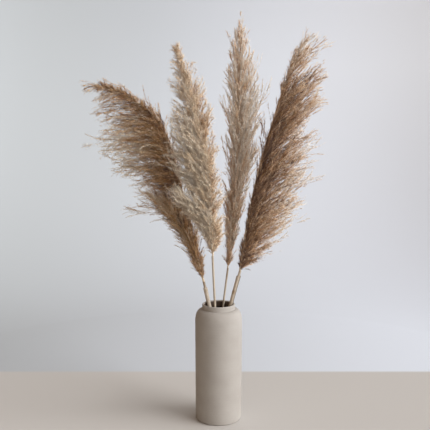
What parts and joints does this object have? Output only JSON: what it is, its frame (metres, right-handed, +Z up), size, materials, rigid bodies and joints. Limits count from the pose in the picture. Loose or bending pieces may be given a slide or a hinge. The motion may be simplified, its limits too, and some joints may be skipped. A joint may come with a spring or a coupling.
{
  "type": "bundle of pampas grass in a vase",
  "caption": "Dried pampas plumes, brown, cream and tan, on straw stems leaning in a tall matte ceramic vase with a short collar.",
  "frame": {"origin": "centre of the vase's flat base, which stands on a surface", "axes": "+Z up along the vase; +X towards the right plume as seen from the front; +Y towards the back"},
  "size_m": [0.6198, 0.1641, 1.05],
  "materials": {
    "ceramic": "matte",
    "straw": "satin",
    "dry_leaf": "matte",
    "plume_brown": "matte",
    "plume_cream": "matte",
    "plume_tan": "matte"
  },
  "bodies": {
    "root": {"vase": "ceramic", "stem_left": "straw", "stem_centre_left": "straw", "stem_centre_right": "straw", "stem_right": "straw", "sheath_left": "dry_leaf", "sheath_right": "dry_leaf", "plume_left": "plume_brown", "plume_right": "plume_brown", "plume_centre_left": "plume_cream", "plume_centre_right": "plume_tan"}
  },
  "joints": []
}
